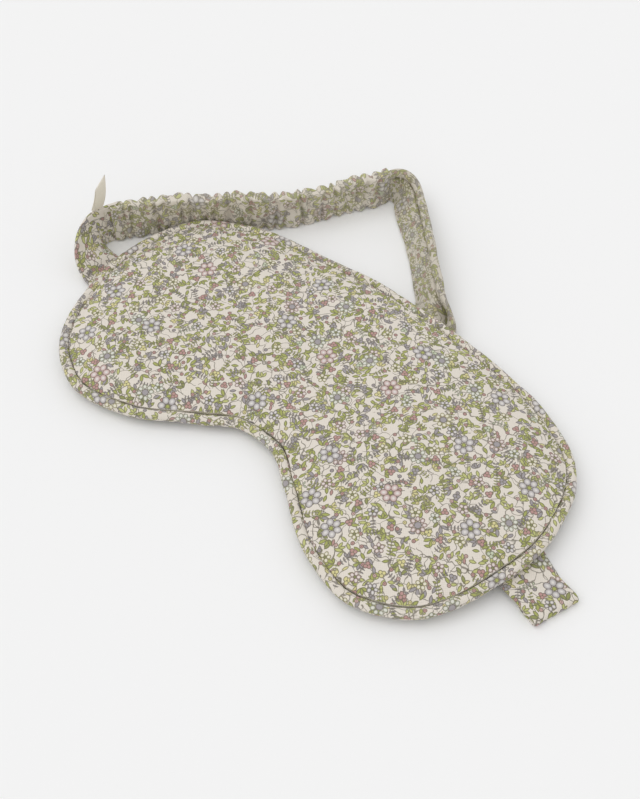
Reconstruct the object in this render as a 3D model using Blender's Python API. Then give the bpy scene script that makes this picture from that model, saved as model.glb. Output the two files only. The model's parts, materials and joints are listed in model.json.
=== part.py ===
"""Padded cloth sleep mask, lying face up.

Two printed cotton panels are sewn round a piped edge over wadding and a blackout lining.
A flat cloth strap leaves the right end, folds back under the mask and comes out past the
forehead edge. A gathered casing with elastic inside joins it to a short tab at the left end.
Lengths below are in millimetres; x runs along the mask, y towards the forehead, z up.
"""
import math

import bmesh
import bpy
import numpy as np

MM = 0.001

# Outline of the mask
MASK_WIDTH = 200.0
BROW_Y = 54.6
LOBE_Y = -55.2
LOBE_X = 64.0
NOTCH_Y = -27.8
OUTLINE_POINTS = 64

# Layers of the padded body, from the middle plane outwards
CLOTH_T = 0.6
LINING_T = 0.6
SEAM_HALF_GAP = 0.55
FRONT_CROWN = 4.6
BACK_CROWN = 3.4
CROWN_RUN = 24.0
CLEARANCE = 0.3
PADDING_EASE = 0.6

# Piped edge and the thread that closes it
PIPING_R = 1.9
PIPING_CLOTH_T = 0.6
PIPING_MOUTH = math.radians(48)
THREAD_D = 0.5

# Strap
STRAP_W = 17.5
STRAP_T = 1.5
CASING_T = 3.2
CASING_WALL = 0.6
ELASTIC_W = 12.0
ELASTIC_T = 1.2
TAB_UNDERLAP = 3.4
STITCH_LENGTH = 13.0

# Label sewn to the top edge of the strap
LABEL_W = 5.0
LABEL_H = 18.0
LABEL_T = 0.7
LABEL_LEAN = math.radians(19)

# The mask is lifted where the folded strap runs under it
LIFT_MARGIN = 0.4
LIFT_FLAT = 14.0
LIFT_REACH = 46.0

# Flat strap under the mask: middle of the strap at each point, and its heading in degrees
HIDDEN_ROUTE = [
    (86.0, 0.4, 153),
    (54.0, 15.5, 151),
    (28.0, 31.5, 134),
    (15.0, 49.0, 114),
]
# Flat strap outside the mask: lower edge of the strap, heading, and lean from flat to upright
OPEN_ROUTE = [
    (3.4, 54.5, 112, 22),
    (-0.6, 60.3, 128, 45),
    (-8.9, 68.8, 135, 50),
    (-22.3, 80.9, 137, 47),
    (-32.2, 88.4, 139, 40),
    (-39.3, 94.4, 146, 38),
    (-42.4, 97.4, 166, 68),
    (-45.0, 97.2, 222, 90),
]
# Gathered part: lower edge, heading and lean
CASING_ROUTE = [
    (-45.4, 96.4, 230, 91),
    (-47.2, 91.6, 239, 92),
    (-53.2, 82.2, 243, 93),
    (-58.2, 72.3, 242, 94),
    (-64.3, 61.6, 236, 92),
    (-71.3, 52.9, 227, 87),
    (-79.3, 46.0, 222, 88),
    (-87.8, 39.7, 224, 93),
    (-94.6, 32.4, 228, 92),
    (-100.6, 24.6, 230, 88),
    (-106.2, 16.6, 231, 84),
    (-111.0, 8.6, 237, 82),
]
# Left tab between the gathered part and the mask: lower edge, height, heading and lean
TAB_ROUTE = [
    (-111.5, 7.7, 0.0, 240, 83),
    (-112.7, 4.4, 0.0, 266, 84),
    (-112.0, 2.6, 0.2, 296, 79),
    (-109.4, 1.7, 0.5, 326, 63),
    (-106.5, 1.4, 0.8, 340, 38),
    (-104.0, 1.2, 0.9, 348, 19),
    (-101.0, 0.9, 0.9, 355, 2),
]
# Fold of the strap beyond the right end: its middle and the direction that it faces
FOLD_X = 113.6
FOLD_Y = -12.2
FOLD_FACING = math.radians(-17.8)
FOLD_STEPS = 4
RIGHT_ROOT_Y = -8.6
LEFT_ROOT_Y = -7.9
# The fold and the routes above suit a mask this wide, and spread sideways with it
ROUTE_MASK_WIDTH = 200.0
SPREAD = MASK_WIDTH / ROUTE_MASK_WIDTH


# --- small geometry helpers -------------------------------------------------------------

def smooth_curve(points, steps, closed=False):
    """Smooth curve through unevenly spaced points, with the given steps between each two."""
    pts = np.array(points, float)
    if closed:
        pts = np.vstack([pts[-1], pts, pts[:2]])
    chord = np.linalg.norm(np.diff(pts, axis=0), axis=1)[:, None]
    pace = np.diff(pts, axis=0) / chord
    tangent = np.vstack([pace[0], (pace[:-1] * chord[1:] + pace[1:] * chord[:-1])
                         / (chord[1:] + chord[:-1]), pace[-1]])
    spans = range(1, len(pts) - 2) if closed else range(len(pts) - 1)
    curve = []
    for i in spans:
        for t in np.arange(steps) / steps:
            start = (1 + 2 * t) * (1 - t) ** 2 * pts[i] + t * (1 - t) ** 2 * chord[i] * tangent[i]
            stop = t * t * (3 - 2 * t) * pts[i + 1] - t * t * (1 - t) * chord[i] * tangent[i + 1]
            curve.append(start + stop)
    if not closed:
        curve.append(pts[-1])
    return np.array(curve)


def even_loop(curve, count):
    """A closed curve read again at equal steps along its length."""
    ring = np.vstack([curve, curve[:1]])
    run = np.concatenate([[0], np.cumsum(np.linalg.norm(np.diff(ring, axis=0), axis=1))])
    at = np.arange(count) * run[-1] / count
    return np.column_stack([np.interp(at, run, ring[:, k]) for k in range(2)])


def distance_to(curve, points):
    """Shortest distance from each point to a polyline, in plan."""
    a, b = curve[:-1], curve[1:]
    along = b - a
    rel = points[:, None, :] - a[None]
    t = np.clip((rel * along).sum(2) / (along ** 2).sum(1), 0, 1)
    return np.linalg.norm(rel - t[..., None] * along, axis=2).min(1)


def smooth_step(t):
    t = np.clip(t, 0, 1)
    return t * t * (3 - 2 * t)


def across(heading, lean):
    """Unit vector from the lower to the upper edge of a strap that runs along a heading."""
    side = math.radians(heading - 90)
    tilt = math.radians(lean)
    return np.array([math.cos(tilt) * math.cos(side), math.cos(tilt) * math.sin(side), math.sin(tilt)])


# --- outline and heights of the mask ----------------------------------------------------

def mask_outline():
    half = MASK_WIDTH / 2
    right = [
        (0, BROW_Y), (0.38 * half, 0.958 * BROW_Y), (0.70 * half, 0.85 * BROW_Y),
        (0.90 * half, 0.62 * BROW_Y), (0.995 * half, 0.147 * BROW_Y), (0.965 * half, 0.36 * LOBE_Y),
        (0.45 * LOBE_X + 0.552 * half, 0.815 * LOBE_Y), (LOBE_X, LOBE_Y),
        (0.656 * LOBE_X, 0.917 * LOBE_Y), (0.3125 * LOBE_X, 0.68 * NOTCH_Y + 0.32 * LOBE_Y),
        (0.11 * LOBE_X, 0.975 * NOTCH_Y + 0.025 * LOBE_Y), (0, NOTCH_Y),
    ]
    left = [(-x, y) for x, y in right[-2:0:-1]]
    return even_loop(smooth_curve(right + left, 12, closed=True), OUTLINE_POINTS)


def inward(outline):
    """Unit normals of the outline, pointing into the mask. The outline runs clockwise."""
    tangent = np.roll(outline, -1, 0) - np.roll(outline, 1, 0)
    tangent /= np.linalg.norm(tangent, axis=1)[:, None]
    return np.column_stack([tangent[:, 1], -tangent[:, 0]])


OUTLINE = mask_outline()
INWARD = inward(OUTLINE)
MASK_CENTRE = np.array([0.0, (BROW_Y + NOTCH_Y) / 2])
UNDER_STRAP = np.array([(FOLD_X, FOLD_Y)] + [(x, y) for x, y, _ in HIDDEN_ROUTE] + [OPEN_ROUTE[0][:2]])
UNDER_STRAP[:, 0] *= SPREAD
PANEL_INSET = 2 * PIPING_R + CLEARANCE
SEAM_INSET = PANEL_INSET + 0.9
FILL_INSET = SEAM_INSET + THREAD_D / 2 + CLEARANCE
REST_HEIGHT = SEAM_HALF_GAP + CLOTH_T + BACK_CROWN
LIFT = STRAP_T + CLEARANCE + LIFT_MARGIN


def middle_height(points):
    """Height of the plane between the panels: raised where the strap lies underneath."""
    away = distance_to(UNDER_STRAP, points)
    return REST_HEIGHT + LIFT * (1 - smooth_step((away - LIFT_FLAT) / (LIFT_REACH - LIFT_FLAT)))


def crown(points, height):
    """Swell of a padded panel: a quarter round from its edge, then level."""
    loop = np.vstack([OUTLINE, OUTLINE[:1]])
    run = np.clip((distance_to(loop, points) - PANEL_INSET) / CROWN_RUN, 0, 1)
    return height * np.sqrt(1 - (1 - run) ** 2)


def front_face(points):
    return middle_height(points) + SEAM_HALF_GAP + CLOTH_T + crown(points, FRONT_CROWN)


def back_face(points):
    return middle_height(points) - SEAM_HALF_GAP - CLOTH_T - crown(points, BACK_CROWN)


def inset(distance):
    return OUTLINE + INWARD * distance


# --- making objects ---------------------------------------------------------------------

def material(name, colour, roughness):
    mat = bpy.data.materials.new(name)
    mat.use_nodes = True
    shader = mat.node_tree.nodes["Principled BSDF"]
    shader.inputs["Base Color"].default_value = (*colour, 1)
    shader.inputs["Roughness"].default_value = roughness
    shader.inputs["Metallic"].default_value = 0
    return mat


def add_object(name, verts, faces, mat):
    """A closed mesh from millimetre points, with its faces turned outwards."""
    mesh = bpy.data.meshes.new(name)
    bm = bmesh.new()
    corners = [bm.verts.new([c * MM for c in v]) for v in verts]
    for face in faces:
        bm.faces.new([corners[i] for i in face])
    bmesh.ops.triangulate(bm, faces=bm.faces[:])
    bmesh.ops.recalc_face_normals(bm, faces=bm.faces[:])
    bm.to_mesh(mesh)
    bm.free()
    mesh.materials.append(mat)
    obj = bpy.data.objects.new(name, mesh)
    bpy.context.scene.collection.objects.link(obj)
    mesh.shade_smooth()
    mesh.set_sharp_from_angle(angle=math.radians(40))
    return obj


def layer(name, edge_inset, scales, top, bottom, mat):
    """A sheet or pad that fills the outline: rings shrink towards the middle of the mask."""
    edge = inset(edge_inset)
    rings = [MASK_CENTRE + s * (edge - MASK_CENTRE) for s in scales]
    verts, faces = [], []
    n = OUTLINE_POINTS
    for height in (top, bottom):
        start = len(verts)
        for ring in rings:
            verts += [(*p, z) for p, z in zip(ring, height(ring))]
        hub = len(verts)
        centre = MASK_CENTRE[None]
        verts.append((*MASK_CENTRE, height(centre)[0]))
        for r in range(len(rings) - 1):
            a, b = start + r * n, start + (r + 1) * n
            faces += [(a + i, a + (i + 1) % n, b + (i + 1) % n, b + i) for i in range(n)]
        last = start + (len(rings) - 1) * n
        faces += [(last + i, last + (i + 1) % n, hub) for i in range(n)]
    low = len(verts) // 2
    faces += [(i, (i + 1) % n, low + (i + 1) % n, low + i) for i in range(n)]
    return add_object(name, verts, faces, mat)


def edge_ring(name, edge_inset, section, mat):
    """A section carried round the outline. It is given as (outwards, up) offsets."""
    centre = inset(edge_inset)
    height = middle_height(centre)
    verts = []
    for p, inwards, z in zip(centre, INWARD, height):
        verts += [(*(p - inwards * out), z + up) for out, up in section]
    n, m = OUTLINE_POINTS, len(section)
    faces = []
    for i in range(n):
        j = (i + 1) % n
        for k in range(m):
            faces.append((i * m + k, i * m + (k + 1) % m, j * m + (k + 1) % m, j * m + k))
    return add_object(name, verts, faces, mat)


def ring_section(radius, sides):
    """A full circle for a cord or thread."""
    turn = 2 * math.pi / sides
    return [(radius * math.cos(k * turn), radius * math.sin(k * turn)) for k in range(sides)]


def piping_section():
    """Cloth wrapped round the piping cord, open on the side that faces the mask."""
    outer = np.linspace(PIPING_MOUTH, 2 * math.pi - PIPING_MOUTH, 8)
    inner_r = PIPING_R - PIPING_CLOTH_T
    wrap = [(-PIPING_R * math.cos(a), PIPING_R * math.sin(a)) for a in outer]
    return wrap + [(-inner_r * math.cos(a), inner_r * math.sin(a)) for a in outer[::-1]]


def strip_frames(lower, upper):
    """Face normal of a strip at each pair of edge points."""
    middle = (lower + upper) / 2
    along = np.gradient(middle, axis=0)
    span = upper - lower
    span /= np.linalg.norm(span, axis=1)[:, None]
    normal = np.cross(along, span)
    return middle, span, normal / np.linalg.norm(normal, axis=1)[:, None]


def carry(name, lower, upper, section, mat, hole=None):
    """A section carried along a strip. A hole makes it a tube with open ends."""
    middle, span, normal = strip_frames(lower, upper)
    count, m = len(middle), len(section)
    loops = [section] + ([hole] if hole else [])
    verts = []
    for loop in loops:
        for c, s, f in zip(middle, span, normal):
            verts += [tuple(c + s * a + f * b) for a, b in loop]
    faces = []
    for part in range(len(loops)):
        base = part * count * m
        for i in range(count - 1):
            a, b = base + i * m, base + (i + 1) * m
            faces += [(a + k, a + (k + 1) % m, b + (k + 1) % m, b + k) for k in range(m)]
    for end in (0, (count - 1) * m):
        if hole:
            shift = count * m + end
            faces += [(end + k, end + (k + 1) % m, shift + (k + 1) % m, shift + k) for k in range(m)]
        else:
            faces.append(tuple(range(end, end + m)))
    return add_object(name, verts, faces, mat)


def box_section(width, thickness):
    w, t = width / 2, thickness / 2
    return [(-w, -t), (w, -t), (w, t), (-w, t)]


def soft_box_section(width, thickness):
    """A flattened tube: straight faces with its two long edges rounded off."""
    w, t = width / 2, thickness / 2
    c = t * 0.7
    return [(-w, -t + c), (-w + c, -t), (w - c, -t), (w, -t + c),
            (w, t - c), (w - c, t), (-w + c, t), (-w, t - c)]


# --- routes of the strap ----------------------------------------------------------------

def leaning_edges(x, y, z, heading, lean, thickness):
    """Lower and upper edge of a strap whose lower edge runs at the given point."""
    low = np.array([x * SPREAD, y, z + thickness / 2 * abs(math.cos(math.radians(lean)))])
    return low, low + across(heading, lean) * STRAP_W


def side_strap_edges():
    """Edges of the flat strap, from the seam at the right end of the mask to the gathered part."""
    fold = np.array([math.cos(FOLD_FACING), math.sin(FOLD_FACING), 0])
    along_fold = np.array([-fold[1], fold[0], 0]) * STRAP_W / 2
    fold_r = STRAP_T / 2 + CLEARANCE
    crease = np.array([FOLD_X * SPREAD, FOLD_Y, STRAP_T / 2 + fold_r])
    pairs = []
    low, high = right_root()
    pairs.append((low, high))
    above = crease + np.array([0, 0, fold_r])
    for share in (0.35, 0.75):
        level = share * share * (3 - 2 * share)
        near = low + (above - along_fold - low) * share
        far = high + (above + along_fold - high) * share
        near[2] = far[2] = low[2] + (above[2] - low[2]) * level
        pairs.append((near, far))
    for step in range(FOLD_STEPS + 1):
        turn = math.pi * step / FOLD_STEPS
        place = crease + fold * fold_r * math.sin(turn) + np.array([0, 0, fold_r * math.cos(turn)])
        pairs.append((place - along_fold, place + along_fold))
    for run in (1.5, 5.0):
        place = crease - fold * run - np.array([0, 0, fold_r])
        pairs.append((place - along_fold, place + along_fold))
    for x, y, heading in HIDDEN_ROUTE:
        middle = np.array([x * SPREAD, y, STRAP_T / 2])
        half = across(heading, 0) * STRAP_W / 2
        pairs.append((middle - half, middle + half))
    pairs += [leaning_edges(x, y, 0, heading, lean, STRAP_T) for x, y, heading, lean in OPEN_ROUTE]
    return pairs


def root_edges(side, root_y):
    """Where a tab is caught in the seam, under the piping at one end of the mask."""
    ends = []
    for y in (root_y - STRAP_W / 2, root_y + STRAP_W / 2):
        flank = OUTLINE[OUTLINE[:, 0] * side > MASK_WIDTH / 4]
        order = flank[np.argsort(flank[:, 1])]
        flat = order[np.abs(order[:, 1]) < -0.6 * LOBE_Y]
        x = np.interp(y, flat[:, 1], flat[:, 0]) - side * TAB_UNDERLAP
        ends.append(np.array([x, y]))
    plan = np.array(ends)
    height = middle_height(plan).mean() - PIPING_R - CLEARANCE - STRAP_T / 2
    return [np.array([*p, height]) for p in plan]


def right_root():
    return root_edges(1, RIGHT_ROOT_Y)


def left_root():
    near, far = root_edges(-1, LEFT_ROOT_Y)
    return far, near


def smooth_edges(pairs, steps):
    """Both edges of a strap through the given pairs, a full strap width apart and off the table."""
    lower = smooth_curve([p[0] for p in pairs], steps)
    span = smooth_curve([p[1] for p in pairs], steps) - lower
    span[:, 2] = np.maximum(span[:, 2], 0)
    span /= np.linalg.norm(span, axis=1)[:, None]
    lower[:, 2] = np.maximum(lower[:, 2], STRAP_T / 2 * np.hypot(span[:, 0], span[:, 1]))
    return lower, lower + span * STRAP_W


def casing_edges():
    pairs = [leaning_edges(x, y, 0, heading, lean, CASING_T) for x, y, heading, lean in CASING_ROUTE]
    return smooth_edges(pairs, 3)


def tab_edges():
    pairs = [leaning_edges(x, y, z, heading, lean, STRAP_T) for x, y, z, heading, lean in TAB_ROUTE]
    return smooth_edges(pairs + [left_root()], 4)


# --- the pieces -------------------------------------------------------------------------

def build_body(cotton, lining, wadding):
    cover = (1, 0.965, 0.90, 0.78, 0.55, 0.28)
    filling = (1, 0.94, 0.80, 0.55, 0.28)
    lining_top = LINING_T / 2 + CLEARANCE

    layer("front_panel", PANEL_INSET, cover, front_face, lambda p: front_face(p) - CLOTH_T, cotton)
    layer("front_wadding", FILL_INSET + CLOTH_T, filling,
          lambda p: front_face(p) - CLOTH_T - PADDING_EASE,
          lambda p: middle_height(p) + lining_top, wadding)
    layer("blackout_lining", FILL_INSET, filling,
          lambda p: middle_height(p) + LINING_T / 2,
          lambda p: middle_height(p) - LINING_T / 2, lining)
    layer("back_wadding", FILL_INSET + CLOTH_T, filling,
          lambda p: middle_height(p) - lining_top,
          lambda p: back_face(p) + CLOTH_T + PADDING_EASE, wadding)
    layer("back_panel", PANEL_INSET, cover, lambda p: back_face(p) + CLOTH_T, back_face, cotton)


def build_edge(cotton, cord, thread):
    edge_ring("edge_piping", PIPING_R, piping_section(), cotton)
    cord_r = PIPING_R - PIPING_CLOTH_T - CLEARANCE
    edge_ring("piping_cord", PIPING_R, ring_section(cord_r, 6), cord)
    edge_ring("perimeter_seam", SEAM_INSET, ring_section(THREAD_D / 2, 4), thread)


def build_strap(cotton, elastic, thread):
    lower, upper = smooth_edges(side_strap_edges(), 3)
    carry("side_strap", lower, upper, box_section(STRAP_W, STRAP_T), cotton)
    join_stitches("side_join_stitches", lower, upper, -4, thread)

    lower, upper = casing_edges()
    hole = soft_box_section(STRAP_W - 2 * CASING_WALL, CASING_T - 2 * CASING_WALL)
    carry("gathered_casing", lower, upper, soft_box_section(STRAP_W, CASING_T), cotton, hole)
    carry("strap_elastic", lower, upper, box_section(ELASTIC_W, ELASTIC_T), elastic)

    lower, upper = tab_edges()
    carry("left_tab", lower, upper, box_section(STRAP_W, STRAP_T), cotton)
    join_stitches("tab_join_stitches", lower, upper, 3, thread)


def join_stitches(name, lower, upper, at, thread):
    """A row of thread across the strap, where its end is sewn to the gathered part."""
    middle, span, normal = strip_frames(lower, upper)
    centre = middle[at] - normal[at] * (STRAP_T / 2 + CLEARANCE + THREAD_D / 2)
    ends = [centre - span[at] * STITCH_LENGTH / 2, centre + span[at] * STITCH_LENGTH / 2]
    side = np.cross(span[at], normal[at])
    verts = [tuple(e + side * a + normal[at] * b) for e in ends for a, b in ring_section(THREAD_D / 2, 6)]
    faces = [(k, (k + 1) % 6, 6 + (k + 1) % 6, 6 + k) for k in range(6)]
    faces += [tuple(range(6)), tuple(range(6, 12))]
    add_object(name, verts, faces, thread)


def build_label(cloth):
    """A folded tape label that stands up from the top edge of the left tab."""
    lower, upper = tab_edges()
    first, last = upper[2], upper[8]
    along = (first - last) * np.array([1, 1, 0])
    along /= np.linalg.norm(along)
    across_label = np.cross(along, (0, 0, 1))
    foot = (first + last) / 2
    foot[2] = max(upper[1:9, 2]) + CLEARANCE
    rise = np.array([0, 0, math.cos(LABEL_LEAN)]) + across_label * math.sin(LABEL_LEAN)
    face = np.cross(rise, along)
    foot = foot + rise * LABEL_T
    verts = []
    for height in (0, LABEL_H):
        for a, b in box_section(LABEL_W, LABEL_T):
            verts.append(tuple(foot + along * a + face * b + rise * height))
    faces = [(k, (k + 1) % 4, 4 + (k + 1) % 4, 4 + k) for k in range(4)]
    faces += [(0, 1, 2, 3), (4, 5, 6, 7)]
    add_object("side_label", verts, faces, cloth)


def stand_on_origin():
    """Move every piece so that the origin is under the middle of the whole mask."""
    meshes = [obj.data for obj in bpy.context.scene.objects]
    points = np.array([tuple(v.co) for mesh in meshes for v in mesh.vertices])
    low, high = points.min(0), points.max(0)
    shift = np.array([(low[0] + high[0]) / 2, (low[1] + high[1]) / 2, low[2]])
    for mesh in meshes:
        for vertex in mesh.vertices:
            vertex.co = np.array(vertex.co) - shift


def main():
    for obj in list(bpy.data.objects):
        bpy.data.objects.remove(obj, do_unlink=True)
    cotton = material("printed_cotton", (0.58, 0.55, 0.45), 0.85)
    wadding = material("wadding", (0.85, 0.85, 0.83), 0.95)
    lining = material("blackout_lining", (0.03, 0.03, 0.035), 0.8)
    cord = material("piping_cord", (0.80, 0.78, 0.72), 0.9)
    thread = material("sewing_thread", (0.62, 0.58, 0.48), 0.6)
    elastic = material("white_elastic", (0.85, 0.85, 0.85), 0.7)
    tape = material("label_tape", (0.72, 0.68, 0.58), 0.7)
    build_body(cotton, lining, wadding)
    build_edge(cotton, cord, thread)
    build_strap(cotton, elastic, thread)
    build_label(tape)
    stand_on_origin()


main()
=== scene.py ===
"""A padded cloth sleep mask, lying face up with its strap half under it."""

import json
import math

import bmesh
import bpy
import numpy as np
from mathutils import Matrix, Vector


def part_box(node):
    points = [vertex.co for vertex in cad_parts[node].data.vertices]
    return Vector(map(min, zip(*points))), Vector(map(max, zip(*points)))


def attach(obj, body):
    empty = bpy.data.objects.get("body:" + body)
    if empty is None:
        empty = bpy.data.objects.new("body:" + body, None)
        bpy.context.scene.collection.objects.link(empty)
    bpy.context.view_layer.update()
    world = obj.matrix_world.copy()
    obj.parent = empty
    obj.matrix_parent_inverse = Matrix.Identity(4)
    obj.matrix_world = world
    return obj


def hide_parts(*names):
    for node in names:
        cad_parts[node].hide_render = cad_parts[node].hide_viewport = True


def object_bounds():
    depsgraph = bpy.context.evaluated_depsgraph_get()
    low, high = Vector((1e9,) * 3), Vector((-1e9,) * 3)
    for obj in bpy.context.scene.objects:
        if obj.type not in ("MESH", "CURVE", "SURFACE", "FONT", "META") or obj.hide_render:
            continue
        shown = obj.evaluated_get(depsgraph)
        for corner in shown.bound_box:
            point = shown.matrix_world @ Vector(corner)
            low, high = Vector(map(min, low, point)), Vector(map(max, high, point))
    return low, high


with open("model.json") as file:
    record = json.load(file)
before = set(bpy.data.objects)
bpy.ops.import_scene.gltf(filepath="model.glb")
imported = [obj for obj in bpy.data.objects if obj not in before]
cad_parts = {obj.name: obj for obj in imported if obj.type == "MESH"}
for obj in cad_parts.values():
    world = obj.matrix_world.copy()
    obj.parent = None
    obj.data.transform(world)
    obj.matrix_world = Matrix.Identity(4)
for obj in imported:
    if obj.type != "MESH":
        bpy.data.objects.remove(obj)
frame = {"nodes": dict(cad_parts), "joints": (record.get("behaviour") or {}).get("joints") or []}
cad_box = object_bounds()

# ----------------------------------------
# Table, light and camera. The mask lies on a plain pale table under one broad soft lamp
# overhead and a little to one side, with pale light all round. Every millimetre figure
# below is measured from the middle of the mask, on the table.
# ----------------------------------------
MM = 0.001
LOBE_REACH = 55.2
rim_low, rim_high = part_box("edge_piping")
middle = Vector(((rim_low[0] + rim_high[0]) / 2, rim_low[1] + LOBE_REACH * MM, 0))

scene = bpy.context.scene
scene.view_settings.view_transform = "Standard"

camera_data = bpy.data.cameras.new("camera")
camera_data.lens = 55
camera_data.sensor_width = 36
camera = bpy.data.objects.new("camera", camera_data)
sight = Vector((-0.40010, 0.45145, -0.79757))
right = Vector((0.74839, 0.66326, 0))
turn = Matrix((right, right.cross(sight), -sight)).transposed()
place = middle + Vector((177.489, -195.751, 349.351)) * MM
camera.matrix_world = Matrix.Translation(place) @ turn.to_4x4()
scene.collection.objects.link(camera)
scene.camera = camera


def wire(tree, socket, value):
    """Gives an input either a link or a plain value."""
    if isinstance(value, bpy.types.NodeSocket):
        tree.links.new(value, socket)
    else:
        socket.default_value = value


def add_node(tree, kind, inputs=None, **settings):
    """One node with its settings, and its inputs given by name or number."""
    node = tree.nodes.new(kind)
    for setting, value in settings.items():
        setattr(node, setting, value)
    for socket, value in (inputs or {}).items():
        wire(tree, node.inputs[socket], value)
    return node


def calc(tree, operation, *values, clamp=False):
    """One Math node."""
    return add_node(tree, "ShaderNodeMath", dict(enumerate(values)), operation=operation,
                    use_clamp=clamp).outputs[0]


def times(tree, *values):
    return calc(tree, "MULTIPLY", *values)


def minus(tree, *values, clamp=False):
    return calc(tree, "SUBTRACT", *values, clamp=clamp)


def mix_colours(tree, share, under, over, blend="MIX"):
    """One colour laid over another."""
    return add_node(tree, "ShaderNodeMix", {0: share, 6: under, 7: over}, data_type="RGBA",
                    blend_type=blend).outputs[2]


def tint(red, green, blue):
    """A colour given as it looks on a screen, from 0 to 255, as the shader wants it."""
    return (*[((c / 255 + 0.055) / 1.055) ** 2.4 for c in (red, green, blue)], 1)


def new_material(name, roughness):
    mat = bpy.data.materials.new(name)
    mat.use_nodes = True
    shader = mat.node_tree.nodes["Principled BSDF"]
    shader.inputs["Roughness"].default_value = roughness
    shader.inputs["Specular IOR Level"].default_value = 0.25
    return mat, mat.node_tree, shader


TABLE_SIZE = 6.0
TABLE_COLOUR, SPECK_COLOUR, SPECKLE = tint(246, 246, 246), tint(238, 238, 238), 0.03
table_mesh = bpy.data.meshes.new("table")
half = TABLE_SIZE / 2
corners = [(-half, -half, 0), (half, -half, 0), (half, half, 0), (-half, half, 0)]
table_mesh.from_pydata(corners, [], [(0, 1, 2, 3)])
table = bpy.data.objects.new("table", table_mesh)
scene.collection.objects.link(table)
table.location.z = cad_box[0][2]
table_paint, tree, shader = new_material("table_paint", 0.9)
grain = add_node(tree, "ShaderNodeTexNoise", {"Scale": 3}).outputs["Fac"]
speckle = mix_colours(tree, times(tree, grain, SPECKLE), TABLE_COLOUR, SPECK_COLOUR)
wire(tree, shader.inputs["Base Color"], speckle)
table_mesh.materials.append(table_paint)

world = bpy.data.worlds.new("room")
scene.world = world
world.use_nodes = True
room_light = world.node_tree.nodes["Background"].inputs
room_light["Color"].default_value = (1, 1, 1, 1)
room_light["Strength"].default_value = 0.76


def soft_lamp(name, strength, spread, tilt, bearing):
    """A far lamp with a wide soft disc, leaning by tilt towards a bearing."""
    data = bpy.data.lights.new(name, "SUN")
    data.energy = strength
    data.angle = math.radians(spread)
    lamp = bpy.data.objects.new(name, data)
    lamp.rotation_euler = (0, math.radians(tilt), math.radians(bearing))
    scene.collection.objects.link(lamp)


soft_lamp("overhead", 0.74, 60, 24, 235)

# ----------------------------------------
# Printed cotton. A fine plain-weave cotton with a small all-over print: leaf sprigs,
# berries and small flowers in faded colours, each with a thin grey-brown outline, on a
# warm cream ground. The mask, its piping and the whole strap are cut from it.
# ----------------------------------------
CREAM, OUTLINE_INK = tint(231, 223, 212), tint(98, 91, 78)
PETAL_WHITE = tint(232, 228, 224)
SOFTNESS, LINE, STEM_HALF = 0.13, 0.25, 0.15


def new_group(name, inputs, outputs):
    """An empty shader group. Inputs are (name, kind, value) and outputs are (name, kind)."""
    group = bpy.data.node_groups.new(name, "ShaderNodeTree")
    for label, kind, value in inputs:
        socket = group.interface.new_socket(label, in_out="INPUT", socket_type="NodeSocket" + kind)
        if value is not None:
            socket.default_value = value
    for label, kind in outputs:
        group.interface.new_socket(label, in_out="OUTPUT", socket_type="NodeSocket" + kind)
    source = group.nodes.new("NodeGroupInput").outputs
    result = group.nodes.new("NodeGroupOutput").inputs
    return group, source, result


def use_group(tree, group, **values):
    """A group placed in a tree. Underscores in the value names stand for spaces."""
    node = tree.nodes.new("ShaderNodeGroup")
    node.node_tree = group
    for label, value in values.items():
        wire(tree, node.inputs[label.replace("_", " ")], value)
    return node.outputs


def vector_math(tree, operation, *values):
    """One Vector Math node."""
    return add_node(tree, "ShaderNodeVectorMath", dict(enumerate(values)), operation=operation).outputs[0]


def turned(tree, vector, angle):
    """A vector turned about Z."""
    return add_node(tree, "ShaderNodeVectorRotate", {"Vector": vector, "Angle": angle},
                    rotation_type="Z_AXIS").outputs[0]


def parts_of(tree, vector):
    """The X, Y and Z of a vector."""
    return add_node(tree, "ShaderNodeSeparateXYZ", {0: vector}).outputs


def flat_vector(tree, x, y):
    return add_node(tree, "ShaderNodeCombineXYZ", {0: x, 1: y}).outputs[0]


def length_of(tree, x, y):
    """How long a flat vector is."""
    return calc(tree, "SQRT", calc(tree, "ADD", times(tree, x, x), times(tree, y, y)))


def inside(tree, depth):
    """1 where a signed depth in millimetres is inside a shape, with a soft edge."""
    return calc(tree, "MULTIPLY_ADD", depth, 1 / SOFTNESS, 0.5, clamp=True)


def outline(tree, depth):
    """1 along the inside of a shape's edge."""
    band = minus(tree, LINE, depth)
    return times(tree, inside(tree, depth), inside(tree, band))


scatter, source, result = new_group(
    "scattered_places", [("Vector", "Vector", None), ("Spacing", "Float", 6.0), ("Jitter", "Float", 0.7),
                         ("Shift", "Vector", None)],
    [("Local", "Vector"), ("Pick", "Float"), ("Shade", "Float")])
shifted = vector_math(scatter, "ADD", source["Vector"], source["Shift"])
cells = add_node(scatter, "ShaderNodeTexVoronoi", {
    "Vector": shifted, "Scale": calc(scatter, "DIVIDE", 1.0, source["Spacing"]),
    "Randomness": source["Jitter"]}, voronoi_dimensions="2D").outputs
local = vector_math(scatter, "SUBTRACT", shifted, cells["Position"])
chance = add_node(scatter, "ShaderNodeSeparateColor", {0: cells["Color"]}).outputs
wire(scatter, result["Local"], turned(scatter, local, times(scatter, chance[0], 2 * math.pi)))
wire(scatter, result["Pick"], chance[1])
wire(scatter, result["Shade"], chance[2])

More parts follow.
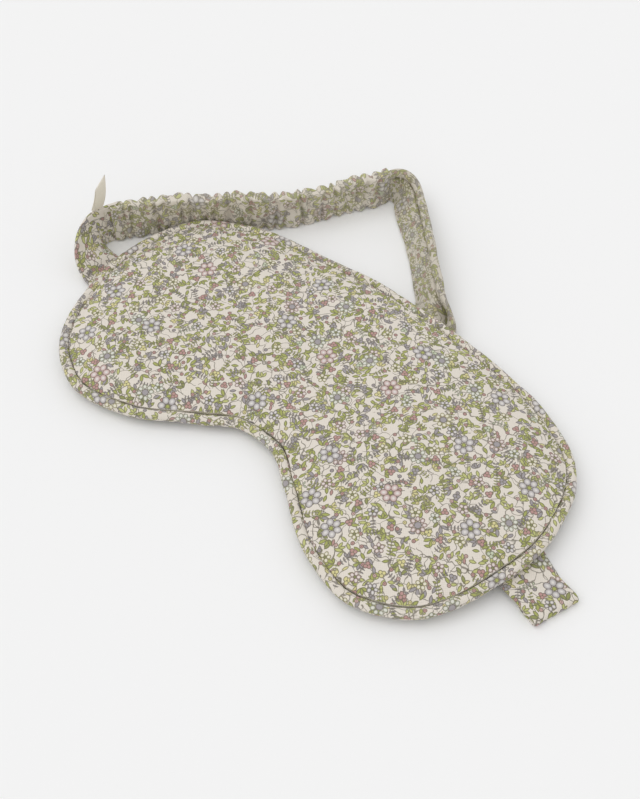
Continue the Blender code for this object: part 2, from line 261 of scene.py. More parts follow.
leaf, source, result = new_group(
    "lens_leaf", [("Local", "Vector", None), ("Angle", "Float", 0.0), ("Start", "Float", 0.3),
                  ("Length", "Float", 3.6), ("Width", "Float", 1.5)],
    [("Depth", "Float"), ("Vein", "Float")])
along, off, _ = parts_of(leaf, turned(leaf, source["Local"], source["Angle"]))
run = calc(leaf, "DIVIDE", minus(leaf, along, source["Start"]), source["Length"])
belly = times(leaf, times(leaf, run, minus(leaf, 1.0, run)), 4.0)
side = calc(leaf, "ABSOLUTE", off)
depth = calc(leaf, "MULTIPLY_ADD", belly, times(leaf, source["Width"], 0.5),
             times(leaf, side, -1.0))
wire(leaf, result["Depth"], depth)
vein = times(leaf, inside(leaf, depth), inside(leaf, minus(leaf, 0.02, side)))
wire(leaf, result["Vein"], vein)

rosette, source, result = new_group(
    "folded_round", [("Local", "Vector", None), ("Count", "Float", 5.0)], [("Local", "Vector")])
x, y, _ = parts_of(rosette, source["Local"])
reach = length_of(rosette, x, y)
bearing = calc(rosette, "ARCTAN2", y, x)
sector = calc(rosette, "DIVIDE", 2 * math.pi, source["Count"])
turns = calc(rosette, "ROUND", calc(rosette, "DIVIDE", bearing, sector))
part = minus(rosette, bearing, times(rosette, sector, turns))
folded = [times(rosette, reach, calc(rosette, wave, part)) for wave in ("COSINE", "SINE")]
wire(rosette, result["Local"], flat_vector(rosette, *folded))

disc, source, result = new_group(
    "petal_disc", [("Local", "Vector", None), ("Place", "Float", 0.0), ("Radius", "Float", 1.0),
                   ("Slim", "Float", 1.0)], [("Depth", "Float")])
x, y, _ = parts_of(disc, source["Local"])
off = length_of(disc, minus(disc, x, source["Place"]), times(disc, y, source["Slim"]))
wire(disc, result["Depth"], minus(disc, source["Radius"], off))

fern, source, result = new_group(
    "paired_leaflets", [("Local", "Vector", None), ("Pitch", "Float", 1.1), ("Pairs", "Float", 3.0)],
    [("Local", "Vector"), ("Stem", "Float")])
x, y, _ = parts_of(fern, source["Local"])
count = calc(fern, "ROUND", calc(fern, "DIVIDE", x, source["Pitch"]))
count = calc(fern, "MINIMUM", calc(fern, "MAXIMUM", count, -1.0), source["Pairs"])
side = calc(fern, "ABSOLUTE", y)
from_pair = minus(fern, x, times(fern, count, source["Pitch"]))
wire(fern, result["Local"], flat_vector(fern, from_pair, side))
STEM_REACH, STEM_MIDDLE, STEM_WIDTH = 2.6, 0.9, 0.10
along_stem = minus(fern, STEM_REACH, calc(fern, "ABSOLUTE", minus(fern, x, STEM_MIDDLE)))
wire(fern, result["Stem"], calc(fern, "MINIMUM", along_stem, minus(fern, STEM_WIDTH, side)))


def pick_colour(tree, chance, stops):
    """A colour chosen by a random number: stops are (from, colour)."""
    ramp = add_node(tree, "ShaderNodeValToRGB", {0: chance})
    ramp.color_ramp.interpolation = "CONSTANT"
    for n, (start, colour) in enumerate(stops):
        stop = ramp.color_ramp.elements[n] if n < 2 else ramp.color_ramp.elements.new(start)
        stop.position = start
        stop.color = colour
    return ramp.outputs[0]


LEAF_GREEN, LIGHT_LEAF, OLD_LEAF = tint(170, 176, 96), tint(197, 200, 128), tint(148, 153, 92)
LILAC, DUSTY_PINK, PALE_PINK = tint(164, 158, 162), tint(190, 148, 144), tint(208, 174, 168)
STRAW, MINT = tint(220, 212, 152), tint(200, 208, 182)

printed, source, result = new_group("small_flower_print", [("Vector", "Vector", None)], [("Color", "Color")])
spot = source["Vector"]


def lay(colour, share, ink):
    """Prints one ink over the cloth so far."""
    return mix_colours(printed, share, colour, ink)


def present(chance, share):
    return calc(printed, "LESS_THAN", chance, share)


def moved(shift):
    """The cloth place shifted, so that each layer falls somewhere else."""
    return vector_math(printed, "ADD", spot, shift)


def soft_noise(place, size):
    return add_node(printed, "ShaderNodeTexNoise", {"Scale": 1 / size, "Detail": 1.0, "Vector": place},
                    noise_dimensions="2D").outputs


def draw(colour, there, depth, ink, lines=None, strength=0.85):
    """One motif layer: its ink inside the shape and a thin drawn line round it."""
    colour = lay(colour, times(printed, there, inside(printed, depth)), ink)
    drawn = outline(printed, depth)
    if lines is not None:
        drawn = calc(printed, "MAXIMUM", drawn, lines)
    seen = times(printed, times(printed, there, drawn), strength)
    return lay(colour, seen, OUTLINE_INK)


# thin stems that wander over the ground, broken here and there
STEMS = (((3.0, 8.0, 0.0), 5.6), ((41.0, -23.0, 0.0), 7.4))
STEM_WANDER, STEM_BROKEN, STEM_STRENGTH = (5.0, 5.0, 0.0), 0.38, 0.8
colour = CREAM
for shift, spacing in STEMS:
    warp = soft_noise(moved(shift), 4.5)["Color"]
    bent = vector_math(printed, "MULTIPLY_ADD", warp, STEM_WANDER, moved(shift))
    web = add_node(printed, "ShaderNodeTexVoronoi", {"Vector": bent, "Scale": 1 / spacing},
                   voronoi_dimensions="2D", feature="DISTANCE_TO_EDGE").outputs
    off = times(printed, web["Distance"], spacing)
    line = inside(printed, minus(printed, STEM_HALF, off))
    broken = calc(printed, "GREATER_THAN", soft_noise(moved(shift), 7.0)["Fac"], STEM_BROKEN)
    drawn = times(printed, times(printed, line, broken), STEM_STRENGTH)
    colour = lay(colour, drawn, OUTLINE_INK)

# leaves: (spacing, shift, angles, start, length, width, share, colours)
LEAF_MIX = [(0.0, LEAF_GREEN), (0.42, LIGHT_LEAF), (0.72, OLD_LEAF), (0.88, LILAC)]
LEAVES = [
    (4.2, (55.0, 31.0, 0.0), (0,), -1.2, 2.5, 1.15, 0.72,
     [(0.0, LEAF_GREEN), (0.34, STRAW), (0.50, DUSTY_PINK), (0.62, LIGHT_LEAF), (0.80, LILAC)]),
    (5.8, (17.0, 5.0, 0.0), (-46, 0, 46), 0.15, 2.4, 1.15, 0.72,
     [(0.0, LIGHT_LEAF), (0.34, LILAC), (0.60, LEAF_GREEN), (0.86, STRAW)]),
    (6.6, (-31.0, 12.0, 0.0), (-30, 30), 0.1, 3.2, 1.35, 0.85, LEAF_MIX),
    (5.8, (7.0, -44.0, 0.0), (0, 158), 0.15, 2.8, 1.25, 0.80, LEAF_MIX),
]
for spacing, shift, angles, start, length, width, share, stops in LEAVES:
    cell = use_group(printed, scatter, Vector=spot, Spacing=spacing, Jitter=0.7, Shift=shift)
    shape, veins = None, None
    for angle in angles:
        one = use_group(printed, leaf, Local=cell["Local"], Angle=math.radians(angle), Start=start,
                        Length=length, Width=width)
        shape = one["Depth"] if shape is None else calc(printed, "MAXIMUM", shape, one["Depth"])
        veins = one["Vein"] if veins is None else calc(printed, "MAXIMUM", veins, one["Vein"])
    colour = draw(colour, present(cell["Pick"], share), shape, pick_colour(printed, cell["Shade"], stops),
                  times(printed, veins, 0.4))

# fern sprigs: (spacing, shift, leaflet length, leaflet width, share, colours)
FERNS = [
    (8.2, (-12.0, 90.0, 0.0), 1.35, 0.72, 0.70, [(0.0, LILAC), (0.55, LIGHT_LEAF), (0.80, LEAF_GREEN)]),
    (10.5, (66.0, -37.0, 0.0), 1.6, 0.80, 0.65, [(0.0, LEAF_GREEN), (0.45, LILAC), (0.80, MINT)]),
]
LEAFLET_ANGLE = math.radians(-52)
for spacing, shift, length, width, share, stops in FERNS:
    cell = use_group(printed, scatter, Vector=spot, Spacing=spacing, Jitter=0.6, Shift=shift)
    pair = use_group(printed, fern, Local=cell["Local"])
    one = use_group(printed, leaf, Local=pair["Local"], Angle=LEAFLET_ANGLE, Start=0.05, Length=length,
                    Width=width)
    colour = draw(colour, present(cell["Pick"], share), one["Depth"],
                  pick_colour(printed, cell["Shade"], stops), inside(printed, pair["Stem"]))

# berries and flowers: (spacing, shift, petals, petal place, petal radius, slimness, heart, share,
# heart colour, colours)
FLOWERS = [
    (3.9, (-9.0, 63.0, 0.0), 1.0, 0.0, 0.72, 1.0, 0.16, 0.52, DUSTY_PINK,
     [(0.0, DUSTY_PINK), (0.44, LILAC), (0.60, STRAW), (0.78, PALE_PINK)]),
    (7.4, (30.0, -8.0, 0.0), 3.0, 0.66, 0.76, 1.0, 0.20, 0.55, OLD_LEAF,
     [(0.0, DUSTY_PINK), (0.46, STRAW), (0.66, LILAC), (0.88, MINT)]),
    (10.0, (23.0, -71.0, 0.0), 5.0, 1.15, 0.82, 1.15, 0.50, 0.60, OLD_LEAF,
     [(0.0, STRAW), (0.34, PALE_PINK), (0.60, LILAC), (0.84, MINT)]),
    (19.0, (-80.0, -15.0, 0.0), 8.0, 2.15, 0.92, 1.2, 1.25, 0.55, LILAC,
     [(0.0, MINT), (0.45, DUSTY_PINK), (0.70, STRAW)]),
    (27.0, (12.0, 47.0, 0.0), 6.0, 2.25, 1.42, 1.15, 0.80, 0.85, LEAF_GREEN,
     [(0.0, LILAC), (0.60, DUSTY_PINK), (0.80, LILAC)]),
]
for spacing, shift, petals, reach, radius, slim, heart, share, heart_ink, stops in FLOWERS:
    cell = use_group(printed, scatter, Vector=spot, Spacing=spacing, Jitter=0.58, Shift=shift)
    folded = use_group(printed, rosette, Local=cell["Local"], Count=petals)
    petal = use_group(printed, disc, Local=folded["Local"], Place=reach, Radius=radius, Slim=slim)["Depth"]
    centre_dot = use_group(printed, disc, Local=cell["Local"], Radius=heart)["Depth"]
    there = present(cell["Pick"], share)
    ink = pick_colour(printed, cell["Shade"], stops)
    rim_share = minus(printed, 1.05, times(printed, petal, 1.15 / radius), clamp=True)
    if reach > 1:
        ink = mix_colours(printed, rim_share, PETAL_WHITE, ink)
    colour = draw(colour, there, petal, ink)
    colour = draw(colour, there, centre_dot, heart_ink)
wire(printed, result["Color"], colour)

weave, source, result = new_group(
    "plain_weave", [("Vector", "Vector", None), ("Pitch", "Float", 0.42)],
    [("Height", "Float"), ("Shade", "Float")])
warp, weft = [calc(weave, "SINE", times(weave, calc(weave, "DIVIDE", axis, source["Pitch"]), math.pi))
              for axis in parts_of(weave, source["Vector"])[:2]]
over = times(weave, warp, weft)
uneven = add_node(weave, "ShaderNodeTexNoise", {"Scale": 1.6, "Vector": source["Vector"]}).outputs["Fac"]
height = calc(weave, "MULTIPLY_ADD", over, 0.5, times(weave, uneven, 0.8))
wire(weave, result["Height"], height)
# Shade darkens the cloth colour where the weave is low and lightens it where it is high: painted shade
# between the threads, mixed with random unevenness of the yarn
wire(weave, result["Shade"], calc(weave, "MULTIPLY_ADD", height, 0.10, 0.91))

CLOTH_MAP = "cloth_mm"
FADE_PER_MM = 0.05


def add_bump(tree, shader, height, strength, distance):
    """Relief, with its distance in metres."""
    bump = add_node(tree, "ShaderNodeBump", {"Strength": strength, "Distance": distance, "Height": height})
    wire(tree, shader.inputs["Normal"], bump.outputs[0])


def cotton_material(name, fade, mute_and_shade_colour=tint(196, 189, 168), far_fade_and_shade=None, change_at=0.0):
    """Printed cotton on a piece's own cloth map. Fade mixes the print towards a plain colour; where that
    colour is darker, as on the strap, it is painted shade.
    """
    mat, tree, shader = new_material(name, 0.86)
    place = add_node(tree, "ShaderNodeUVMap", uv_map=CLOTH_MAP).outputs[0]
    ink = use_group(tree, printed, Vector=place)["Color"]
    threads = use_group(tree, weave, Vector=place)
    if far_fade_and_shade is not None:
        past = minus(tree, parts_of(tree, place)[0], change_at)
        gone = calc(tree, "MULTIPLY_ADD", past, FADE_PER_MM, 0.0, clamp=True)
        fade = calc(tree, "MULTIPLY_ADD", gone, far_fade_and_shade - fade, fade)
    # the print mixed towards the plain colour; a darker colour here is painted shade
    muted_and_shaded = mix_colours(tree, fade, ink, mute_and_shade_colour)
    # the weave's painted shade multiplies the colour
    shaded = mix_colours(tree, 1.0, muted_and_shaded, threads["Shade"], "MULTIPLY")
    wire(tree, shader.inputs["Base Color"], shaded)
    rough = calc(tree, "MULTIPLY_ADD", threads["Height"], 0.10, 0.80)
    wire(tree, shader.inputs["Roughness"], rough)
    shader.inputs["Sheen Weight"].default_value = 0.12
    shader.inputs["Sheen Roughness"].default_value = 0.6
    creases = add_node(tree, "ShaderNodeTexNoise", {"Scale": 0.35, "Detail": 4, "Vector": place}).outputs
    relief = calc(tree, "MULTIPLY_ADD", threads["Height"], 0.06, times(tree, creases["Fac"], 0.35))
    add_bump(tree, shader, relief, 0.55, MM)
    return mat


# ----------------------------------------
# The padded body. Two panels of the cotton are sewn together round their edge over
# wadding, so that the mask is a thin crowned pad, deepest over each eye, with its seam
# pulled in all round. A low crowned form is blown up as cloth that is held at the seam.
# ----------------------------------------
MASK_HALF_WIDTH, BROW_Y, LOBE_X, NOTCH_Y = 100.0, 54.6, 64.0, -27.8
LOBE_Y = -LOBE_REACH
PIPING_R = 1.9
REST_HEIGHT = 4.55
LIFT, LIFT_FLAT, LIFT_REACH = 2.2, 14.0, 46.0
FRONT_CROWN, BACK_CROWN, CROWN_RUN = 4.3, 3.2, 34.0
FRONT_FILL, BACK_FILL, FILL_INSET, FILL_RUN = 4.6, 3.4, 4.1, 24.0
CLEARANCE, CLEARANCE_INSIDE, OFF_TABLE = 0.3, 0.7, 0.15
SEAM_INSET, SEAM_HALF = 3.7, 1.4


def smooth_curve(points, steps, closed=False):
    """Smooth curve through unevenly spaced points."""
    pts = np.array(points, float)
    if closed:
        pts = np.vstack([pts[-1], pts, pts[:2]])
    chord = np.linalg.norm(np.diff(pts, axis=0), axis=1)[:, None]
    pace = np.diff(pts, axis=0) / chord
    tangent = np.vstack([pace[0], (pace[:-1] * chord[1:] + pace[1:] * chord[:-1])
                         / (chord[1:] + chord[:-1]), pace[-1]])
    curve = []
    for i in (range(1, len(pts) - 2) if closed else range(len(pts) - 1)):
        for t in np.arange(steps) / steps:
            start = (1 + 2 * t) * (1 - t) ** 2 * pts[i] + t * (1 - t) ** 2 * chord[i] * tangent[i]
            stop = t * t * (3 - 2 * t) * pts[i + 1] - t * t * (1 - t) * chord[i] * tangent[i + 1]
            curve.append(start + stop)
    if not closed:
        curve.append(pts[-1])
    return np.array(curve)


def run_along(curve):
    """Distance from the start of a curve to each of its points."""
    return np.concatenate([[0], np.cumsum(np.linalg.norm(np.diff(curve, axis=0), axis=1))])


def even_ring(curve, count):
    ring = np.vstack([curve, curve[:1]])
    run = run_along(ring)
    at = np.arange(count) * run[-1] / count
    return np.column_stack([np.interp(at, run, ring[:, k]) for k in range(2)])


def mask_outline(count):
    half = MASK_HALF_WIDTH
    flank = [
        (0, BROW_Y), (0.38 * half, 0.958 * BROW_Y), (0.70 * half, 0.85 * BROW_Y),
        (0.90 * half, 0.62 * BROW_Y), (0.995 * half, 0.147 * BROW_Y), (0.965 * half, 0.36 * LOBE_Y),
        (0.45 * LOBE_X + 0.552 * half, 0.815 * LOBE_Y), (LOBE_X, LOBE_Y),
        (0.656 * LOBE_X, 0.917 * LOBE_Y), (0.3125 * LOBE_X, 0.68 * NOTCH_Y + 0.32 * LOBE_Y),
        (0.11 * LOBE_X, 0.975 * NOTCH_Y + 0.025 * LOBE_Y), (0, NOTCH_Y),
    ]
    other_flank = [(-x, y) for x, y in flank[-2:0:-1]]
    return even_ring(smooth_curve(flank + other_flank, 12, closed=True), count)


def inward(ring):
    tangent = np.roll(ring, -1, 0) - np.roll(ring, 1, 0)
    tangent /= np.linalg.norm(tangent, axis=1)[:, None]
    return np.column_stack([tangent[:, 1], -tangent[:, 0]])


def distance_to(curve, points):
    """Shortest distance from each point to a polyline, in plan."""
    a, b = curve[:-1], curve[1:]
    along = b - a
    rel = points[:, None, :] - a[None]
    t = np.clip((rel * along).sum(2) / (along ** 2).sum(1), 0, 1)
    return np.linalg.norm(rel - t[..., None] * along, axis=2).min(1)


STRAP_UNDER = np.array([(113.6, -12.2), (86.0, 0.4), (54.0, 15.5), (28.0, 31.5), (15.0, 49.0), (3.4, 54.5)])


def middle_height(points):
    """Height of the seam: raised where the strap lies underneath."""
    t = np.clip((distance_to(STRAP_UNDER, points) - LIFT_FLAT) / (LIFT_REACH - LIFT_FLAT), 0, 1)
    return REST_HEIGHT + LIFT * (1 - t * t * (3 - 2 * t))


def waves(seed, spots, size, count=14):
    """A smooth repeatable random field from -1 to 1, with features of about a given size."""
    rng = np.random.default_rng(seed)
    total = np.zeros(len(spots))
    for _ in range(count):
        course = rng.normal(size=spots.shape[1])
        course *= rng.uniform(0.6, 1.4) / (np.linalg.norm(course) * size)
        total += np.sin(2 * math.pi * (spots @ course) + rng.uniform(0, 2 * math.pi))
    return total / math.sqrt(count / 2) / 2


def make_piece(name, points, faces, corner_maps, mat):
    """A piece from millimetre points, with a cloth map for each face corner."""
    mesh = bpy.data.meshes.new(name)
    mesh.from_pydata([tuple(middle + Vector(p) * MM) for p in points], [], faces)
    layer = mesh.uv_layers.new(name=CLOTH_MAP)
    layer.data.foreach_set("uv", np.asarray(corner_maps, float).ravel())
    mesh.materials.append(mat)
    mesh.shade_smooth()
    piece = bpy.data.objects.new(name, mesh)
    scene.collection.objects.link(piece)
    bm = bmesh.new()
    bm.from_mesh(mesh)
    bmesh.ops.recalc_face_normals(bm, faces=bm.faces[:])
    bm.to_mesh(mesh)
    bm.free()
    return piece


def grid_piece(name, grid, maps, mat, closed_run=False):
    """A tube from rings of points. It is closed end to end, or has a flat cap at each end."""
    rings, around = grid.shape[:2]
    faces, corners = [], []
    for i in range(rings if closed_run else rings - 1):
        for j in range(around):
            a, b = i * around, (i + 1) % rings * around
            faces.append((a + j, a + (j + 1) % around, b + (j + 1) % around, b + j))
            corners += [maps[i, j], maps[i, j + 1], maps[i + 1, j + 1], maps[i + 1, j]]
    if not closed_run:
        for i in (0, rings - 1):
            faces.append(tuple(range(i * around, (i + 1) * around)))
            corners += list(maps[i, :around])
    return make_piece(name, grid.reshape(-1, 3), faces, corners, mat)


RING_COUNT, INNER_RINGS = 200, 24
ring = mask_outline(RING_COUNT)
RIM_LOOP = np.vstack([ring, ring[:1]])
centre = np.array([0.0, (BROW_Y + NOTCH_Y) / 2])
EDGE_STEPS = (0, 0.25, 0.55, 0.9, 1.3, 1.8, 2.4, 3.2)
pulled_in = SEAM_INSET + 0.22 * waves(6, ring, 28.0)
levels = [ring + inward(ring) * (pulled_in + step)[:, None] for step in EDGE_STEPS]
levels += [centre + s * (levels[-1] - centre) for s in np.linspace(0.96, 0.04, INNER_RINGS)]


def crown(points, height):
    run = np.clip((distance_to(RIM_LOOP, points) - SEAM_INSET) / CROWN_RUN, 0, 1)
    return height * (1 - (1 - run) ** 2)


points, faces = [], []
for way, height in ((1, FRONT_CROWN), (-1, BACK_CROWN)):
    start = len(points)
    for level in levels:
        heights = middle_height(level) + way * (SEAM_HALF + crown(level, height))
        points += [(*p, z) for p, z in zip(level, heights)]
    points.append((*centre, middle_height(centre[None])[0] + way * (SEAM_HALF + height)))
    for r in range(len(levels) - 1):
        a, b = start + r * RING_COUNT, start + (r + 1) * RING_COUNT
        faces += [(a + i, a + (i + 1) % RING_COUNT, b + (i + 1) % RING_COUNT, b + i)
                  for i in range(RING_COUNT)]
    last = start + (len(levels) - 1) * RING_COUNT
    faces += [(last + i, last + (i + 1) % RING_COUNT, len(points) - 1) for i in range(RING_COUNT)]
low = len(points) // 2
faces += [(i, (i + 1) % RING_COUNT, low + (i + 1) % RING_COUNT, low + i) for i in range(RING_COUNT)]

PUFF_FRAMES, MOST_MOVE, HELD_WIDTH, POLE_REACH = 20, 0.9, 3.0, 12.0
body_cotton = cotton_material("printed_cotton", 0.06)
mask_pad = make_piece("mask_pad", points, faces, np.zeros((sum(len(f) for f in faces), 2)), body_cotton)
pad_mesh = mask_pad.data


def vertex_array(mesh):
    flat = np.empty(len(mesh.vertices) * 3)
    mesh.vertices.foreach_get("co", flat)
    return flat.reshape(-1, 3)


before = vertex_array(pad_mesh)
plan = (before - np.array(middle))[:, :2] / MM
held = mask_pad.vertex_groups.new(name="held_at_seam")
edge_run = distance_to(RIM_LOOP, plan) - SEAM_INSET
for n, run in enumerate(edge_run):
    hold = max(0.0, 1.0 - max(run, 0.0) / HELD_WIDTH)
    if hold > 0:
        held.add([n], hold, "REPLACE")
cloth = mask_pad.modifiers.new("puff", "CLOTH")
puff = cloth.settings
puff.vertex_group_mass = "held_at_seam"
puff.use_pressure = True
puff.uniform_pressure_force = 4
puff.shrink_min = -0.03
puff.effector_weights.gravity = 0
puff.quality = 5
cloth.collision_settings.use_collision = False
cloth.point_cache.frame_start = 1
cloth.point_cache.frame_end = PUFF_FRAMES
for step in range(1, PUFF_FRAMES + 1):
    scene.frame_set(step)
depsgraph = bpy.context.evaluated_depsgraph_get()
after = vertex_array(bpy.data.meshes.new_from_object(mask_pad.evaluated_get(depsgraph)))
mask_pad.modifiers.clear()
mask_pad.vertex_groups.clear()
scene.frame_set(1)
move = after - before
from_pole = np.linalg.norm(plan - centre, axis=1)
for face_way in (1, -1):
    mine = face_way * (before[:, 2] - middle.z - middle_height(plan) * MM) > 0
    beside = mine & (from_pole > POLE_REACH) & (from_pole < 1.5 * POLE_REACH)
    move[mine & (from_pole <= POLE_REACH)] = move[beside].mean(0)
size = np.linalg.norm(move, axis=1)
after = before + move * (np.minimum(size, MOST_MOVE * MM) / np.maximum(size, 1e-9))[:, None]
pad_mesh.vertices.foreach_set("co", after.ravel())

# the seam puckers the cloth beside it, and the wadding is a little uneven
PUCKER_SIZE, PUCKER_DEPTH, PUCKER_FADE = 6.5, 0.42, 4.0
local_mm = (vertex_array(pad_mesh) - np.array(middle)) / MM
plan = local_mm[:, :2]
edge_run = np.maximum(distance_to(RIM_LOOP, plan) - SEAM_INSET, 0)
side_way = np.sign(local_mm[:, 2] - middle_height(plan))
nearest = ((plan[:, None, :] - ring[None]) ** 2).sum(2).argmin(1)
ring_run = run_along(RIM_LOOP)[nearest]
pucker = waves(5, np.column_stack([ring_run, edge_run * 0.15]), PUCKER_SIZE) * PUCKER_DEPTH
pucker *= np.exp(-edge_run / PUCKER_FADE) * np.clip(edge_run / 1.2, 0, 1)
uneven_fill = waves(8, plan, 34.0) * 0.35 + waves(9, plan, 15.0) * 0.12
local_mm[:, 2] += side_way * (pucker + uneven_fill * np.clip(edge_run / 12, 0, 1))
fill_run = np.clip((edge_run + SEAM_INSET - FILL_INSET) / FILL_RUN, 0, 1)
filled = np.where(side_way > 0, FRONT_FILL, BACK_FILL) * np.sqrt(1 - (1 - fill_run) ** 2) + CLEARANCE
filled += CLEARANCE_INSIDE * np.clip(edge_run / FILL_RUN, 0, 1)
level = middle_height(plan)
puffed = np.maximum(side_way * (local_mm[:, 2] - level), filled)
local_mm[:, 2] = level + side_way * puffed
local_mm[:, 2] = np.maximum(local_mm[:, 2], OFF_TABLE)
pad_mesh.vertices.foreach_set("co", (local_mm * MM + np.array(middle)).ravel())
for name in list(pad_mesh.uv_layers.keys()):
    pad_mesh.uv_layers.remove(pad_mesh.uv_layers[name])
layer = pad_mesh.uv_layers.new(name=CLOTH_MAP)
loops = np.empty(len(pad_mesh.loops), int)
pad_mesh.loops.foreach_get("vertex_index", loops)
BACK_CLOTH_SHIFT = (260.0, 40.0)
maps = plan.copy()
maps[side_way < 0] += BACK_CLOTH_SHIFT
layer.data.foreach_set("uv", maps[loops].ravel())
pad_mesh.materials.clear()
pad_mesh.materials.append(body_cotton)
pad_mesh.shade_smooth()
finer = mask_pad.modifiers.new("finer", "SUBSURF")
finer.levels = finer.render_levels = 1
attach(mask_pad, "mask")
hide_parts("front_panel", "back_panel")

# ----------------------------------------
# Piping. A bias strip of the same cotton is wrapped round a soft cord and caught in the
# seam, so that a round roll stands along the whole edge. Its cloth is eased round the
# curves and shows small crosswise puckers.
# ----------------------------------------
PIPING_STEPS, PIPING_SIDES = 900, 22
ring = mask_outline(PIPING_STEPS)
roll = ring + inward(ring) * PIPING_R
height = middle_height(roll)
run = run_along(np.vstack([roll, roll[:1]]))
total = run[-1]
turns = 2 * math.pi * run[:-1] / total
loop_place = np.column_stack([np.cos(turns), np.sin(turns)]) * total / (2 * math.pi)
fat = 1 + 0.035 * waves(21, loop_place, 16.0) + 0.03 * waves(22, loop_place, 6.0)
drift = 0.16 * waves(23, loop_place, 22.0)
angles = np.arange(PIPING_SIDES) * 2 * math.pi / PIPING_SIDES
grid = np.zeros((PIPING_STEPS, PIPING_SIDES, 3))
outward = -inward(ring)
for j, angle in enumerate(angles):
    around = np.column_stack([loop_place, np.full(PIPING_STEPS, angle * PIPING_R)])
    ruck = 0.07 * waves(24, around * (1, 1, 0.35), 2.6)
    radius = PIPING_R * fat + ruck * (1 - 0.5 * math.cos(angle))
    grid[:, j, :2] = roll + outward * (np.cos(angle) * radius + drift)[:, None]
    grid[:, j, 2] = height + np.sin(angle) * radius
u, v = np.meshgrid(run, np.append(angles, 2 * math.pi) * PIPING_R, indexing="ij")
maps = np.dstack([(u + v) * 0.7071 + 31.0, (u - v) * 0.7071 - 57.0])
piping = grid_piece("piping", grid, maps, cotton_material("piping_cotton", 0.10), closed_run=True)
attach(piping, "mask")
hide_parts("edge_piping")

# ----------------------------------------
# Flat strap. A tube of the cotton is turned right side out and pressed flat. It leaves
# the right end of the mask, folds back under it, and comes out past the brow. A lengthwise
# tuck near its outer edge sets off a narrow rolled flange.
# ----------------------------------------
STRAP_W, STRAP_T = 17.5, 1.5


def across(heading, lean):
    """Unit vector from the lower to the upper edge of a strap that runs along a heading."""
    side, tilt = math.radians(heading - 90), math.radians(lean)
    return np.array([math.cos(tilt) * math.cos(side), math.cos(tilt) * math.sin(side), math.sin(tilt)])


def leaning(x, y, z, heading, lean, thickness=STRAP_T):
    low = np.array([x, y, z + thickness / 2 * abs(math.cos(math.radians(lean)))])
    return low, low + across(heading, lean) * STRAP_W


def smooth_edges(pairs, steps):
    """Both edges of a strap through the given pairs, a full width apart and off the table."""
    lower = smooth_curve([p[0] for p in pairs], steps)
    span = smooth_curve([p[1] for p in pairs], steps) - lower
    span[:, 2] = np.maximum(span[:, 2], 0)
    span /= np.linalg.norm(span, axis=1)[:, None]
    lower[:, 2] = np.maximum(lower[:, 2], STRAP_T / 2 * np.hypot(span[:, 0], span[:, 1]))
    return even_band(lower, lower + span * STRAP_W)


BAND_STEP, UNDERLAP = 0.8, 3.4


def even_band(lower, upper, step=BAND_STEP):
    """Both edges of a strap read again at even steps along its middle."""
    run = run_along((lower + upper) / 2)
    at = np.linspace(0, run[-1], int(run[-1] / step) + 1)
    return [np.column_stack([np.interp(at, run, edge[:, k]) for k in range(3)])
            for edge in (lower, upper)] + [at]


def band_frames(lower, upper):
    """Unit vectors across a strap and out of its outer face at each step."""
    along = np.gradient((lower + upper) / 2, axis=0)
    span = upper - lower
    span /= np.linalg.norm(span, axis=1)[:, None]
    face = np.cross(along, span)
    return span, face / np.linalg.norm(face, axis=1)[:, None]


def flat_section(width, thickness, count, extra=()):
    """Points round a pressed tube: (across from the lower edge, out of the outer face)."""
    over = np.unique(np.concatenate([(1 - np.cos(np.linspace(0, math.pi, count))) / 2 * width, extra]))
    off = np.abs(2 * over / width - 1)
    swell = thickness / 2 * np.clip(np.sqrt(1 - np.minimum(off, 1) ** 2) * 3.0, 0, 1) ** 0.6
    return np.vstack([np.column_stack([over, -swell]), np.column_stack([over[-2:0:-1], swell[-2:0:-1]])])


def band_piece(name, lower, upper, at, section, ripple, mat, offset):
    """A strap from its edges, its section and a rippling of the faces and edges."""
    span, face = band_frames(lower, upper)
    over, out = section[:, 0], section[:, 1]
    lift, slide = ripple(at[:, None] + 0 * over, over + 0 * at[:, None], np.sign(out) + 0 * at[:, None])
    grid = (lower[:, None, :] + span[:, None, :] * (over + slide)[..., None]
            + face[:, None, :] * (out + lift)[..., None])
    grid[..., 2] = np.maximum(grid[..., 2], 0.05)
    round_run = run_along(np.vstack([section, section[:1]]))
    u, v = np.meshgrid(at, round_run, indexing="ij")
    return grid_piece(name, grid, np.dstack([u + offset[0], v + offset[1]]), mat)


def root_edge(side, root_y):
    """Where a tab is caught under the piping at one end of the mask."""
    ends = []
    flank = ring[ring[:, 0] * side > 50]
    flank = flank[np.argsort(flank[:, 1])]
    flank = flank[np.abs(flank[:, 1]) < 33]
    for y in (root_y - STRAP_W / 2, root_y + STRAP_W / 2):
        ends.append((np.interp(y, flank[:, 1], flank[:, 0]) - side * UNDERLAP, y))
    z = middle_height(np.array(ends)).mean() - PIPING_R - CLEARANCE - STRAP_T / 2
    return [np.array([*p, z]) for p in ends]


